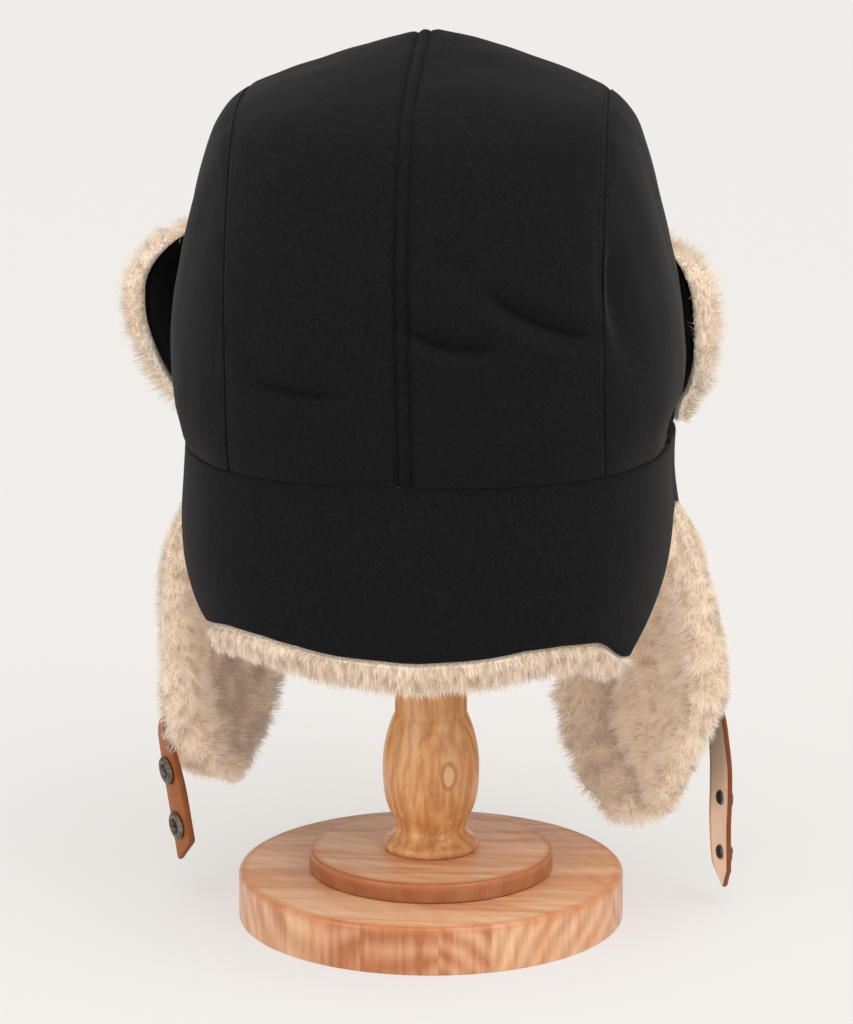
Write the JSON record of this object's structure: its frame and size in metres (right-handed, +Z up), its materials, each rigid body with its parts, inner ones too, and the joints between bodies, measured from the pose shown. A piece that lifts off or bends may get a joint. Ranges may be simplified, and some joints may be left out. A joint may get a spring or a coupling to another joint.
{
  "type": "aviator hat on wooden stand",
  "caption": "Padded black cloth cap with pale pile-lined ear flaps, neck flap and turned-up front flap, leather snap straps, held up by a turned wooden stand.",
  "frame": {"origin": "centre of the underside of the stand's base, on the floor", "axes": "+Z up along the stand's post, +Y towards the hat's front, +X towards the hat's right ear flap as seen from behind"},
  "size_m": [0.2415, 0.2268, 0.3465],
  "materials": {
    "cloth": "matte brushed cloth, padded",
    "pile": "deep pale pile",
    "leather": "smooth tan leather, paler inside",
    "snap": "antique dark metal",
    "wood": "clear satin lacquer"
  },
  "bodies": {
    "root": {"crown_top_left": "cloth", "crown_top_right": "cloth", "crown_side_left": "cloth", "crown_side_right": "cloth", "neck_flap": "cloth", "ear_flap_left": "cloth", "ear_flap_right": "cloth", "front_flap": "cloth", "neck_pile": "pile", "ear_pile_left": "pile", "ear_pile_right": "pile", "front_pile": "pile", "strap_left": "leather", "strap_right": "leather", "snap_left_upper": "snap", "snap_left_lower": "snap", "snap_right_upper": "snap", "snap_right_lower": "snap", "stand_base": "wood", "stand_riser": "wood", "stand_post": "wood", "stand_cap": "wood"}
  },
  "joints": []
}
